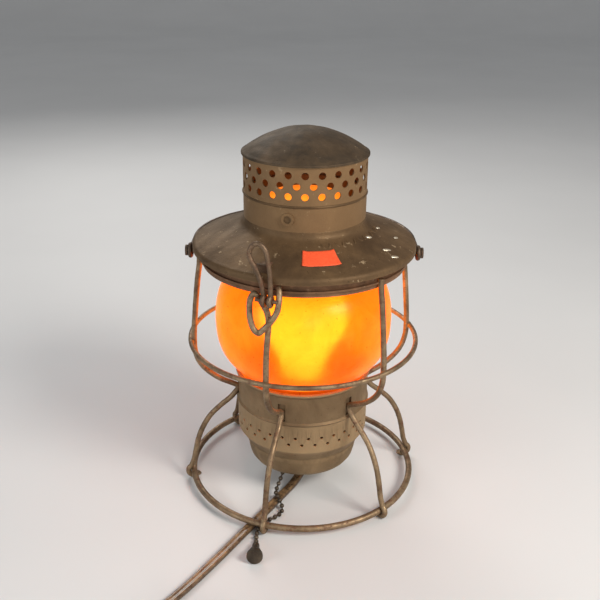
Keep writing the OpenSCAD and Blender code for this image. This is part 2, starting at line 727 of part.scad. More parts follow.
module bulb_glass() {
    w = 0.9;
    color([1, 0.95, 0.8, 0.8]) rotate_extrude() difference() {
        union() {
            translate([0, bulb_z]) intersection() {
                circle(r = bulb_r);
                translate([0, -14]) square([bulb_r + 1, bulb_r + 15]);
            }
            polygon([[0, base_z + 21], [11.9, base_z + 21], [12.2, base_z + 26.6], [13.4, base_z + 27.6],
                [14.6, bulb_neck_z], [17, 94], [21.6, 103.6], [26.53, 111], [26.53, 112], [0, 112]]);
        }
        union() {
            translate([0, bulb_z]) intersection() {
                circle(r = bulb_r - w);
                translate([-eps, -14 - eps]) square([bulb_r + 1, bulb_r + 15]);
            }
            polygon([[-eps, base_z + 20], [11.9 - w, base_z + 20], [12.2 - w, base_z + 26.8],
                [13.4 - w, base_z + 28], [14.6 - w, bulb_neck_z + 0.2], [17 - w, 94.4], [21.6 - w, 104],
                [25.5, 111], [25.5, 113], [-eps, 113]]);
        }
    }
}

module bulb_stem() {
    color([0.9, 0.92, 0.9, 0.6]) rotate_extrude() polygon([[0, base_z + 20], [9, base_z + 20],
        [9, base_z + 22], [4, base_z + 29], [2.4, base_z + 44], [3, base_z + 46], [0, base_z + 47]]);
}

module bulb_filament() {
    z = bulb_z - 3;
    color([1, 0.85, 0.5]) {
        for (side = [-1, 1])
            sweep([[side * 1.6, 0, base_z + 45], [side * 4, 0, base_z + 52], [side * 9, 0, z]],
                0.7, 0.7, 6, [0, 1, 0]);
        sweep(smooth([[-9, 0, z], [-5, 3, z + 1.5], [0, 4, z + 0.5], [5, 3, z + 1.5], [9, 0, z]], 4),
            1, 1, 6, [0, 1, 0]);
    }
}

module bulb_base() {
    color([0.78, 0.78, 0.76]) rotate_extrude() polygon([[base_r - 0.7, base_z + 26.4],
        [base_r + 0.2, base_z + 26.4],
        for (i = [0 : 5]) each [[base_r, base_z + 23.5 - 3.2 * i], [base_r - 0.9, base_z + 21.9 - 3.2 * i]],
        [base_r - 2.4, base_z + 3.6], [base_r - 3.2, base_z + 3.6], [base_r - 1.7, base_z + 6]]);
}

module bulb_insulator() {
    color([0.08, 0.08, 0.09]) rotate_extrude() polygon([[4.2, base_z + 1.2], [base_r - 2.6, base_z + 3.55],
        [base_r - 3.3, base_z + 3.6], [base_r - 3.3, base_z + 5.5], [4.2, base_z + 5.5]]);
}

module bulb_tip() {
    color([0.7, 0.7, 0.68]) rotate_extrude() polygon([[0, base_z - 0.2], [3, base_z + 0.2],
        [4.1, base_z + 1.4], [4.1, base_z + 3], [0, base_z + 3]]);
}

// Cord, chain and what is on them

module relief_place() {
    translate(relief_at) rotate([0, 0, relief_az]) rotate([90 + relief_drop, 0, 0]) children();
}

module cord_relief() {
    color([0.1, 0.08, 0.07]) difference() {
        relief_place() cylinder(r1 = relief_big_r, r2 = relief_small_r, h = relief_len);
        translate([-20, -20, cup_bottom_z - 0.05]) cube([60, 60, 20]);
    }
    color([0.1, 0.08, 0.07]) translate([relief_at[0], relief_at[1], 0]) {
        translate([0, 0, cup_bottom_z - 2.6]) cylinder(r = relief_neck_r - 0.02, h = 2.6 + pot_wall + 0.5);
        translate([0, 0, floor_top + 0.02]) cylinder(r = relief_neck_r + 1.3, h = 1.4);
    }
}

module chain_grommet() {
    color([0.12, 0.11, 0.1]) translate([chain_hole[0], chain_hole[1], 0]) {
        tube(grommet_r, grommet_bore, cup_bottom_z - 1.2, cup_bottom_z + pot_wall + 1.2);
        tube(grommet_r + 1.2, grommet_bore, cup_bottom_z - 1.4, cup_bottom_z - eps);
        tube(grommet_r + 1.2, grommet_bore, cup_bottom_z + pot_wall + eps, cup_bottom_z + pot_wall + 1.4);
    }
}

module pull_chain() {
    color([0.3, 0.26, 0.22]) sweep(smooth(chain_route, 2), chain_d, chain_d, wire_sides, [1, 0, 0]);
}

module pull_bell() {
    color([0.2, 0.16, 0.13]) translate(bell_at) rotate([0, 0, bell_az]) rotate([79, 0, 0]) rotate_extrude()
        polygon([[0, 0.2], [2, 0.2], [2.4, 2], [2.2, 4], [3, 7], [4.2, 11], [bell_r - 0.2, bell_l - 2],
            [bell_r - 0.2, bell_l], [0, bell_l]]);
}

module power_cord() {
    path = smooth(cord_route, 2);
    color([0.13, 0.08, 0.05]) sweep(path, cord_w, cord_t, 10, [0.866, -0.5, 0]);
}

module cord_coil() {
    c = coil_round;
    low = coil_r - coil_w / 2;
    high = coil_r + coil_w / 2;
    color([0.13, 0.08, 0.05]) translate(coil_at) rotate_extrude() polygon([[low + c, 0], [high - c, 0],
        [high, c], [high, coil_h - c], [high - c, coil_h], [low + c, coil_h], [low, coil_h - c], [low, c]]);
}

module cord_tie() {
    w = coil_w + 2 * tie_t;
    h = coil_h + 2 * tie_t;
    color([0.75, 0.73, 0.68]) difference() {
        translate([coil_at[0], coil_at[1], 0]) rotate([0, 0, tie_az])
            translate([-tie_w / 2, -coil_r - w / 2 - 0.3, 0]) cube([tie_w, w + 0.5, h]);
        translate(coil_at) rotate_extrude() polygon([[coil_r - coil_w / 2, 0], [coil_r + coil_w / 2, 0],
            [coil_r + coil_w / 2, coil_h], [coil_r - coil_w / 2, coil_h]]);
    }
}

module plug_body() {
    color([0.12, 0.08, 0.06]) translate(plug_at) hull() {
        for (y = [-plug_w / 2 + 4, plug_w / 2 - 4])
            translate([plug_l / 2 - 3, y, -plug_h / 2]) cylinder(r = 3, h = plug_h, $fn = hull_fn);
        for (y = [-4, 4])
            translate([-plug_l / 2 + plug_neck / 3, y, -plug_h / 2 + 1.5])
                cylinder(r = 3, h = plug_h - 3, $fn = hull_fn);
    }
}

module plug_blades() {
    color([0.8, 0.72, 0.5]) for (side = [-1, 1])
        translate(plug_at + [plug_l / 2, (side * blade_gap - blade_t) / 2, -blade_w / 2])
            cube([blade_l, blade_t, blade_w]);
}

dome_cap();
vent_band();
collar();
collar_bead();
collar_rivet();
lid_plate();
lid_skirt();
flue_tube();
globe_crown();
crown_springs();
lid_catch();
price_label();
lid_hinge_leaf();
top_ring();
frame_hinge_leaf();
hinge_pin();
bail_studs();
guard_ring();
base_ring();
guard_wire_left();
guard_wire_latch();
guard_wire_front();
guard_wire_right();
guard_wire_hinge();
guard_wire_back();
latch_pin();
latch_hasp();
bail_wire();
globe();
globe_seat();
pot_shell();
pot_cup();
socket_bracket();
bracket_rivets();
nipple();
nipple_nuts();
socket_cap();
socket_shell();
socket_liner();
screw_shell();
center_contact();
switch_box();
pull_arm();
bulb_glass();
bulb_stem();
bulb_filament();
bulb_base();
bulb_insulator();
bulb_tip();
socket_leads();
chain_grommet();
cord_relief();
pull_chain();
pull_bell();
power_cord();
cord_coil();
cord_tie();
plug_body();
plug_blades();
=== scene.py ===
import json
import math
import random

import bmesh
import bpy
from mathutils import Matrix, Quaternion, Vector


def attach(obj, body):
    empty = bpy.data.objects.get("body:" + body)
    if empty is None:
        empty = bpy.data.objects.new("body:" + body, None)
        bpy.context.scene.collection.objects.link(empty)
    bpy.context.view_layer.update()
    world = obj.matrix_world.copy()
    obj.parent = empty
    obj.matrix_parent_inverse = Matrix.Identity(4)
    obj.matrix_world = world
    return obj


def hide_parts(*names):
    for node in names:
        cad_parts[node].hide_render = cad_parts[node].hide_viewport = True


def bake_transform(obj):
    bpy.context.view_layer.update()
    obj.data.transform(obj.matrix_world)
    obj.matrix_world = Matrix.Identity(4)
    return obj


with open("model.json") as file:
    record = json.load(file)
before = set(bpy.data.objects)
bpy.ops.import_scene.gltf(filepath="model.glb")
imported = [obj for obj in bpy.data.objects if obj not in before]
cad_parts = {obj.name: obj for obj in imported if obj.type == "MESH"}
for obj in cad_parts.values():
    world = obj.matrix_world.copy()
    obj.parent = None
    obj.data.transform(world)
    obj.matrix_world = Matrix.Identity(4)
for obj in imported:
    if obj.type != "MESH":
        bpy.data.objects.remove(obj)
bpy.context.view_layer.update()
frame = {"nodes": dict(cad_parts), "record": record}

MM = 0.001
nodes = frame["nodes"]


# ---------------------------------------------------------------- camera

def make_camera():
    data = bpy.data.cameras.new("camera")
    data.lens = 50.36
    data.sensor_width = 36.0
    data.shift_x = -0.0057
    data.shift_y = 0.0297
    data.clip_start = 0.01
    cam = bpy.data.objects.new("camera", data)
    bpy.context.scene.collection.objects.link(cam)
    place = Vector((0.0, -0.5264, 0.3637))
    aim = Vector((0.0, 0.0, 0.1229))
    turn = (aim - place).to_track_quat("-Z", "Y")
    roll = Quaternion((0, 0, 1), math.radians(0.75))
    cam.location = place
    cam.rotation_mode = "QUATERNION"
    cam.rotation_quaternion = turn @ roll
    bpy.context.scene.camera = cam


make_camera()


# ---------------------------------------------------------------- curves

def smooth(points, n):
    """The points of a Catmull-Rom curve through the given ones, n to a stretch."""
    p = [Vector(q) for q in points]
    out = []
    for i in range(len(p) - 1):
        a, b, c, d = p[max(i - 1, 0)], p[i], p[i + 1], p[min(i + 2, len(p) - 1)]
        for k in range(n):
            f = k / n
            out.append((2 * b + (c - a) * f + (2 * a - 5 * b + 4 * c - d) * f * f
                        + (3 * b - a - 3 * c + d) * f * f * f) / 2)
    out.append(p[-1])
    return out


def evenly(points, step):
    """The same line with a point every step."""
    out = [points[0].copy()]
    left = step
    for a, b in zip(points, points[1:]):
        d = (b - a).length
        at = left
        while at <= d:
            out.append(a.lerp(b, at / d))
            at += step
        left = at - d
    if (out[-1] - points[-1]).length > step * 0.3:
        out.append(points[-1].copy())
    return out


def tangents(p):
    last = len(p) - 1
    return [(p[min(i + 1, last)] - p[max(i - 1, 0)]).normalized() for i in range(last + 1)]


def carried(ts, first):
    out = []
    n = Vector(first)
    for t in ts:
        n = (n - n.dot(t) * t).normalized()
        out.append(n)
    return out


def around(az, r, z=0.0, side=0.0):
    """A point at an azimuth, a radius and a height, all in millimetres, in metres."""
    a = math.radians(az)
    return Vector((r * math.sin(a) + side * math.cos(a), -r * math.cos(a) + side * math.sin(a), z)) * MM


# ---------------------------------------------------------------- meshes

def piece(name, verts, faces, body, material, sharp=None):
    mesh = bpy.data.meshes.new(name)
    mesh.from_pydata([tuple(v) for v in verts], [], faces)
    mesh.validate()
    bm = bmesh.new()
    bm.from_mesh(mesh)
    bmesh.ops.recalc_face_normals(bm, faces=bm.faces)
    bm.to_mesh(mesh)
    bm.free()
    for f in mesh.polygons:
        f.use_smooth = True
    if sharp:
        mesh.set_sharp_from_angle(angle=math.radians(sharp))
    mesh.materials.append(material)
    obj = bpy.data.objects.new(name, mesh)
    bpy.context.scene.collection.objects.link(obj)
    if body:
        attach(obj, body)
    return obj


def revolve_mesh(profile, steps, closed=True):
    """A profile of radius and height in millimetres, turned about the axis."""
    verts, rows = [], []
    for r, z in profile:
        if r < 1e-6:
            rows.append([len(verts)] * steps)
            verts.append(Vector((0, 0, z * MM)))
        else:
            rows.append(list(range(len(verts), len(verts) + steps)))
            for k in range(steps):
                verts.append(around(360 * k / steps, r, z))
    faces = []
    pairs = list(zip(rows, rows[1:]))
    if closed:
        pairs.append((rows[-1], rows[0]))
    for a, b in pairs:
        if a is b:
            continue
        for k in range(steps):
            m = (k + 1) % steps
            ring = [a[k], a[m], b[m], b[k]]
            face = [v for i, v in enumerate(ring) if v != ring[i - 1]]
            if len(set(face)) > 2:
                faces.append(face)
    return verts, faces


def tube_mesh(path, section, sides_first):
    """Rings along a path with flat ends. section(i, n, b) gives a ring's points about the origin."""
    ts = tangents(path)
    ns = carried(ts, sides_first) if isinstance(sides_first, tuple) else sides_first(ts)
    verts, faces = [], []
    count = 0
    for i, (p, t, n) in enumerate(zip(path, ts, ns)):
        ring = section(i, n, t.cross(n))
        count = len(ring)
        verts += [p + v for v in ring]
    for i in range(len(path) - 1):
        for k in range(count):
            a, b = i * count + k, i * count + (k + 1) % count
            faces.append([a, b, b + count, a + count])
    faces.append(list(range(count))[::-1])
    faces.append([(len(path) - 1) * count + k for k in range(count)])
    return verts, faces


def wire_section(r, sides, wobble=0.0, seed=0):
    """A round wire whose radius varies a little along it."""
    draw = random.Random(seed)
    table = [1 + wobble * (draw.random() - 0.5) for _ in range(400)]

    def section(i, n, b):
        rr = r * table[i % 400] * MM
        return [n * rr * math.cos(2 * math.pi * k / sides) + b * rr * math.sin(2 * math.pi * k / sides)
                for k in range(sides)]
    return section


# ---------------------------------------------------------------- materials

BULB_POWER = 2.1

class Shader:
    """A material's node tree, with short calls for what the looks need."""

    def __init__(self, name):
        self.material = bpy.data.materials.new(name)
        self.material.use_nodes = True
        self.tree = self.material.node_tree
        self.tree.nodes.clear()
        self.out = self.node("ShaderNodeOutputMaterial")
        self.bsdf = self.node("ShaderNodeBsdfPrincipled")
        self.link(self.bsdf.outputs[0], self.out.inputs[0])
        self.place = self.node("ShaderNodeTexCoord").outputs["Object"]

    def node(self, kind, **values):
        n = self.tree.nodes.new(kind)
        for k, v in values.items():
            setattr(n, k, v)
        return n

    def link(self, a, b):
        self.tree.links.new(a, b)

    def set(self, **values):
        for k, v in values.items():
            self.bsdf.inputs[k.replace("_", " ")].default_value = v

    def stretched(self, scale, offset=(0, 0, 0)):
        m = self.node("ShaderNodeMapping")
        m.inputs["Scale"].default_value = scale
        m.inputs["Location"].default_value = offset
        self.link(self.place, m.inputs["Vector"])
        return m.outputs[0]

    def noise(self, scale, detail=4.0, rough=0.55, where=None, distortion=0.0):
        n = self.node("ShaderNodeTexNoise")
        n.inputs["Scale"].default_value = scale
        n.inputs["Detail"].default_value = detail
        n.inputs["Roughness"].default_value = rough
        n.inputs["Distortion"].default_value = distortion
        self.link(where or self.place, n.inputs["Vector"])
        return n.outputs["Fac"]

    def ramp(self, value, stops):
        n = self.node("ShaderNodeValToRGB")
        ramp = n.color_ramp
        while len(ramp.elements) < len(stops):
            ramp.elements.new(0.5)
        for e, (at, colour) in zip(ramp.elements, stops):
            e.position = at
            e.color = tuple(colour) + (1,) if isinstance(colour, (tuple, list)) else (colour,) * 3 + (1,)
        self.link(value, n.inputs["Fac"])
        return n.outputs["Color"]

    def mix(self, factor, a, b):
        n = self.node("ShaderNodeMix", data_type="RGBA")
        for value, socket in ((factor, n.inputs[0]), (a, n.inputs[6]), (b, n.inputs[7])):
            if hasattr(value, "links"):
                self.link(value, socket)
            elif isinstance(value, (int, float)):
                socket.default_value = value
            else:
                socket.default_value = tuple(value) + (1,)
        return n.outputs[2]

    def math(self, op, a, b):
        n = self.node("ShaderNodeMath", operation=op)
        for value, socket in ((a, n.inputs[0]), (b, n.inputs[1])):
            if hasattr(value, "links"):
                self.link(value, socket)
            else:
                socket.default_value = value
        return n.outputs[0]

    def bump(self, height, strength, distance):
        n = self.node("ShaderNodeBump")
        n.inputs["Strength"].default_value = strength
        n.inputs["Distance"].default_value = distance
        self.link(height, n.inputs["Height"])
        self.link(n.outputs[0], self.bsdf.inputs["Normal"])

    def to(self, name, value):
        self.link(value, self.bsdf.inputs[name])

    def xyz(self):
        n = self.node("ShaderNodeSeparateXYZ")
        self.link(self.place, n.inputs[0])
        return n.outputs

    def edges(self, low, high):
        n = self.node("ShaderNodeNewGeometry")
        return self.ramp(n.outputs["Pointiness"], [(low, 0.0), (high, 1.0)])


def aged_paint(name, light, dark, chipped, soot=0.0, chips=0.62, rough=0.5, metal=0.35):
    """Old metallic paint: clouded, speckled with grime, rubbed and chipped to the metal."""
    s = Shader(name)
    clouds = s.noise(38, 6, 0.62, distortion=0.4)
    streaks = s.noise(1, 5, 0.6, s.stretched((120, 120, 22)))
    colour = s.mix(s.ramp(clouds, [(0.32, 0.0), (0.68, 1.0)]), dark, light)
    colour = s.mix(s.math("MULTIPLY", s.ramp(streaks, [(0.45, 0.0), (0.75, 1.0)]), 0.35), colour, dark)
    chips_at = s.noise(150, 8, 0.72)
    colour = s.mix(s.ramp(chips_at, [(chips, 0.0), (chips + 0.05, 1.0)]), colour, chipped)
    specks = s.noise(620, 3, 0.6)
    colour = s.mix(s.ramp(specks, [(0.66, 0.0), (0.74, 0.85)]), colour, [c * 0.25 for c in dark])
    if soot:
        sooty = s.ramp(s.noise(70, 7, 0.7), [(0.44, 0.0), (0.62, soot)])
        colour = s.mix(sooty, colour, (0.028, 0.022, 0.017))
    colour = s.mix(s.math("MULTIPLY", s.edges(0.53, 0.6), 0.55), colour, [min(1, c * 1.7) for c in light])
    s.to("Base Color", colour)
    s.to("Roughness", s.ramp(clouds, [(0.3, rough + 0.14), (0.7, rough - 0.08)]))
    s.set(Metallic=metal, Specular_IOR_Level=0.3, Specular_Tint=(1.0, 0.84, 0.64, 1))
    fine = s.math("MULTIPLY", s.noise(900, 3, 0.6), 0.35)
    dents = s.math("MULTIPLY", s.noise(45, 3, 0.5), 1.6)
    s.bump(s.math("ADD", s.math("ADD", fine, dents), s.math("MULTIPLY", chips_at, 0.5)), 0.55, 0.0006)
    return s.material


def between(s, low, high):
    """The height as a fraction between two heights in metres."""
    height = s.node("ShaderNodeMapRange")
    height.inputs["From Min"].default_value = low
    height.inputs["From Max"].default_value = high
    s.link(s.xyz()[2], height.inputs["Value"])
    return height.outputs[0]


def globe_side(s):
    """How far the surface turns toward the lit globe, at the globe's height."""
    at = s.xyz()
    outward = s.node("ShaderNodeCombineXYZ")
    s.link(at[0], outward.inputs[0])
    s.link(at[1], outward.inputs[1])
    unit = s.node("ShaderNodeVectorMath", operation="NORMALIZE")
    s.link(outward.outputs[0], unit.inputs[0])
    dot = s.node("ShaderNodeVectorMath", operation="DOT_PRODUCT")
    s.link(unit.outputs[0], dot.inputs[0])
    s.link(s.node("ShaderNodeTexCoord").outputs["Normal"], dot.inputs[1])
    inward = s.ramp(s.math("MULTIPLY", dot.outputs["Value"], -1.0), [(0.0, 0.0), (0.9, 1.0)])
    level = s.ramp(between(s, 0.07, 0.185), [(0.0, 0.0), (0.25, 0.8), (0.6, 1.0), (0.9, 0.7), (1.0, 0.0)])
    return s.math("MULTIPLY", inward, level)


def old_wire(name, light, dark, rust, amount=0.5, rough=0.42, glow=0.55):
    """Tarnished wire: patches of rust and rubbed bright metal, orange where the globe lights it."""
    s = Shader(name)
    patches = s.noise(75, 6, 0.65)
    colour = s.mix(s.ramp(patches, [(0.35, 0.0), (0.66, 1.0)]), dark, light)
    rusty = s.noise(230, 7, 0.7)
    colour = s.mix(s.ramp(rusty, [(amount, 0.0), (amount + 0.12, 1.0)]), colour, rust)
    colour = s.mix(s.ramp(s.noise(520, 4, 0.6), [(0.64, 0.0), (0.72, 0.9)]), colour, (0.03, 0.02, 0.013))
    s.to("Base Color", colour)
    s.to("Roughness", s.ramp(rusty, [(0.35, rough - 0.06), (0.65, rough + 0.3)]))
    s.to("Metallic", s.ramp(rusty, [(amount, 0.75), (amount + 0.12, 0.15)]))
    if glow:
        lit = s.mix(s.ramp(rusty, [(0.4, 0.0), (0.7, 0.6)]), (1.0, 0.27, 0.03), (0.45, 0.08, 0.008))
        s.to("Emission Color", s.mix(globe_side(s), (0, 0, 0), lit))
        s.set(Emission_Strength=glow)
    s.bump(s.math("ADD", rusty, s.math("MULTIPLY", s.noise(1400, 2), 0.3)), 0.6, 0.0004)
    return s.material


def plain_metal(name, colour, rough=0.35):
    """Bright metal dulled by patches of grime."""
    s = Shader(name)
    dirt = s.noise(260, 5, 0.65)
    s.to("Base Color", s.mix(s.ramp(dirt, [(0.5, 0.0), (0.72, 0.7)]), colour, (0.05, 0.04, 0.03)))
    s.to("Roughness", s.ramp(dirt, [(0.4, rough), (0.7, rough + 0.25)]))
    s.set(Metallic=1.0)
    s.bump(s.noise(1100, 3), 0.3, 0.0002)
    return s.material


def dull_solid(name, colour, other, rough, coat=0.0):
    """Two shades of a non-metal, mixed by a fine grain."""
    s = Shader(name)
    grain = s.noise(300, 5, 0.65)
    s.to("Base Color", s.mix(s.ramp(grain, [(0.42, 0.0), (0.66, 1.0)]), colour, other))
    s.to("Roughness", s.ramp(grain, [(0.35, rough - 0.08), (0.7, rough + 0.15)]))
    s.set(Coat_Weight=coat, Coat_Roughness=0.2)
    s.bump(s.noise(1200, 3), 0.35, 0.0002)
    return s.material


def amber_glass():
    """Frosted amber glass with dust, drips and wear, lit from inside."""
    s = Shader("amber_glass")
    glow = s.ramp(between(s, 0.086, 0.167), [(0.0, (0.34, 0.036, 0.001)), (0.2, (0.72, 0.105, 0.002)),
                                             (0.5, (0.86, 0.135, 0.003)), (0.78, (0.7, 0.09, 0.002)),
                                             (1.0, (0.36, 0.035, 0.001))])
    mottle = s.noise(60, 7, 0.68, distortion=0.6)
    streak = s.noise(1, 5, 0.6, s.stretched((190, 190, 26), (3, 1, 0)))
    glow = s.mix(s.ramp(mottle, [(0.4, 0.0), (0.72, 0.45)]), glow, (0.5, 0.05, 0.001))
    glow = s.mix(s.ramp(streak, [(0.56, 0.0), (0.74, 0.35)]), glow, (0.95, 0.24, 0.012))
    specks = s.ramp(s.noise(420, 5, 0.7), [(0.63, 0.0), (0.69, 0.8)])
    glow = s.mix(specks, glow, (0.2, 0.02, 0.001))
    s.to("Emission Color", glow)
    s.set(Emission_Strength=0.72, Transmission_Weight=1.0, IOR=1.2)
    clear = s.mix(s.ramp(mottle, [(0.35, 0.0), (0.7, 0.6)]), (0.95, 0.5, 0.07), (0.85, 0.3, 0.025))
    s.to("Base Color", s.mix(specks, clear, (0.3, 0.08, 0.01)))
    s.to("Roughness", s.ramp(mottle, [(0.3, 0.27), (0.7, 0.38)]))
    s.bump(s.math("ADD", mottle, s.math("MULTIPLY", s.noise(700, 3), 0.3)), 0.3, 0.0004)
    return s.material


def bulb_glass():
    """The lit bulb's frosted glass, brightest round its middle."""
    s = Shader("bulb_glass")
    glow = s.ramp(between(s, 0.078, 0.155), [(0.0, (0.8, 0.34, 0.07)), (0.3, (1.0, 0.52, 0.15)),
                                             (0.62, (1.0, 0.5, 0.13)), (0.85, (0.85, 0.34, 0.07)),
                                             (1.0, (0.55, 0.17, 0.03))])
    glow = s.mix(s.ramp(s.noise(90, 3), [(0.4, 0.0), (0.8, 0.3)]), glow, (0.9, 0.36, 0.08))
    s.to("Emission Color", glow)
    s.set(Emission_Strength=BULB_POWER, Base_Color=(0.95, 0.9, 0.8, 1), Roughness=0.4)
    s.bump(s.noise(1500, 2), 0.1, 0.0001)
    return s.material


def lit_tin():
    """Browned tin that the bulb below it lights to a bright orange."""
    s = Shader("lit_tin")
    stain = s.noise(160, 5, 0.65)
    s.to("Base Color", s.mix(s.ramp(stain, [(0.4, 0.0), (0.7, 1.0)]), (0.3, 0.15, 0.07), (0.14, 0.06, 0.03)))
    glow = s.ramp(between(s, 0.186, 0.211), [(0.0, (1.0, 0.36, 0.03)), (0.6, (0.95, 0.26, 0.015)),
                                             (1.0, (0.6, 0.12, 0.006))])
    s.to("Emission Color", s.mix(s.ramp(stain, [(0.45, 0.0), (0.75, 0.5)]), glow, (0.5, 0.1, 0.005)))
    s.set(Emission_Strength=1.5, Roughness=0.5, Metallic=0.4)
    s.bump(stain, 0.4, 0.0003)
    return s.material


def paper():
    """Scuffed orange-red label paper."""
    s = Shader("label_paper")
    fibres = s.noise(900, 6, 0.7)
    scuffs = s.noise(240, 5, 0.7)
    colour = s.mix(s.ramp(fibres, [(0.35, 0.0), (0.7, 1.0)]), (0.86, 0.075, 0.018), (0.95, 0.13, 0.035))
    colour = s.mix(s.ramp(scuffs, [(0.6, 0.0), (0.72, 0.5)]), colour, (0.5, 0.04, 0.012))
    s.to("Base Color", colour)
    s.to("Roughness", s.ramp(fibres, [(0.3, 0.55), (0.7, 0.75)]))
    s.bump(fibres, 0.35, 0.0002)
    return s.material


def cord_sheath():
    """Glossy dark brown sheath with a painted highlight: lighter in patches on its upward-facing side."""
    s = Shader("cord_sheath")
    sheen_patches = s.noise(170, 6, 0.7)
    colour = s.mix(s.ramp(s.noise(55, 4), [(0.35, 0.0), (0.7, 1.0)]), (0.042, 0.022, 0.011), (0.1, 0.055, 0.026))
    up = s.node("ShaderNodeSeparateXYZ")
    s.link(s.node("ShaderNodeNewGeometry").outputs["Normal"], up.inputs[0])
    # painted highlight: upward-facing sides lightened, broken into patches by noise
    top = s.math("MULTIPLY", s.ramp(up.outputs[2], [(0.25, 0.0), (0.95, 1.0)]),
                 s.ramp(sheen_patches, [(0.42, 0.05), (0.68, 0.8)]))
    colour = s.mix(top, colour, (0.36, 0.22, 0.105))
    s.to("Base Color", colour)
    s.to("Roughness", s.ramp(sheen_patches, [(0.35, 0.2), (0.7, 0.5)]))
    s.set(Coat_Weight=0.35, Coat_Roughness=0.12, Specular_IOR_Level=0.6)
    s.bump(s.math("ADD", s.noise(500, 3), s.math("MULTIPLY", sheen_patches, 0.6)), 0.35, 0.0003)
    return s.material


looks = {
    "lid_paint": aged_paint("lid_paint", (0.155, 0.092, 0.044), (0.064, 0.037, 0.019), (0.36, 0.26, 0.155),
                            rough=0.56, metal=0.25),
    "dome_paint": aged_paint("dome_paint", (0.1, 0.066, 0.039), (0.042, 0.028, 0.017), (0.25, 0.185, 0.12),
                             soot=0.7, chips=0.63, rough=0.62, metal=0.15),
    "bare_tin": aged_paint("bare_tin", (0.25, 0.13, 0.07), (0.1, 0.05, 0.027), (0.38, 0.26, 0.17), soot=0.3),
    "pot_paint": aged_paint("pot_paint", (0.26, 0.178, 0.098), (0.14, 0.092, 0.05), (0.11, 0.065, 0.034),
                            chips=0.64),
    "guard_steel": old_wire("guard_steel", (0.34, 0.24, 0.14), (0.15, 0.097, 0.055), (0.12, 0.05, 0.022), 0.52),
    "dark_steel": old_wire("dark_steel", (0.21, 0.138, 0.085), (0.085, 0.053, 0.032), (0.12, 0.05, 0.022), 0.5),
    "spring_steel": plain_metal("spring_steel", (0.42, 0.39, 0.35)),
    "zinc_steel": plain_metal("zinc_steel", (0.5, 0.49, 0.46)),
    "amber_glass": amber_glass(),
    "frosted_glass": bulb_glass(),
    "clear_glass": dull_solid("clear_glass", (0.8, 0.85, 0.8), (0.75, 0.8, 0.76), 0.2),
    "lampholder_brass": plain_metal("lampholder_brass", (0.55, 0.4, 0.17), 0.3),
    "fibre_liner": dull_solid("fibre_liner", (0.5, 0.4, 0.27), (0.4, 0.3, 0.19), 0.8),
    "black_moulding": dull_solid("black_moulding", (0.02, 0.018, 0.016), (0.035, 0.03, 0.026), 0.35, coat=0.2),
    "lamp_cap_metal": plain_metal("lamp_cap_metal", (0.6, 0.6, 0.58), 0.3),
    "cord_sheath": cord_sheath(),
    "chain_metal": old_wire("chain_metal", (0.13, 0.1, 0.07), (0.045, 0.034, 0.025), (0.09, 0.045, 0.02),
                            0.56, 0.35, glow=0),
    "bail_steel": old_wire("bail_steel", (0.16, 0.11, 0.072), (0.07, 0.045, 0.03), (0.1, 0.042, 0.018),
                           0.5, glow=0),
    "label_paper": paper(),
    "tie_wire": dull_solid("tie_wire", (0.6, 0.58, 0.52), (0.5, 0.48, 0.43), 0.5),
}
slot_of = {entry["node"]: entry["material_slot"] for entry in frame["record"]["subparts"]}
for node_name, obj in nodes.items():
    obj.data.materials.clear()
    obj.data.materials.append(looks[slot_of[node_name]])


# ---------------------------------------------------------------- cord

CORD_W = 6.6
CORD_T = 3.4
CORD_ROUTE = [(1.6, -11, 7.9), (-1.2, -15.6, 4.9), (-4.4, -21, 2.7), (-7.8, -27, 1.8),
              (-13.6, -37, 1.7), (-20.4, -49, 1.7), (-27.2, -61, 1.7), (-34.2, -73, 1.7),
              (-41.2, -85, 1.7), (-48.6, -98, 1.7), (-57, -112, 1.7), (-65.6, -126, 1.7),
              (-75, -140, 1.7), (-84.4, -153, 1.8), (-93, -165.6, 2), (-99.6, -178, 2.3)]
COIL = (-62, -200, 0.6)
COIL_OUT = 39.3
COIL_IN = 32.7
PLUG_END = (-73.5, -236, 20.6)
END_BEND = 28
LEAVE_AT = 85
SHIFT = 110
RISE_AT = 150
RISE_OVER = 112
COIL_SLOTS = [(COIL_OUT, 0), (COIL_IN, 0), (COIL_IN, 1), (COIL_OUT, 1), (COIL_OUT, 2), (COIL_IN, 2), (COIL_IN, 3)]


def ease(t):
    t = min(max(t, 0.0), 1.0)
    return t * t * (3 - 2 * t)


def on_circle(centre, r, degrees, z):
    a = math.radians(degrees)
    return Vector((centre[0] + r * math.cos(a), centre[1] + r * math.sin(a), z))


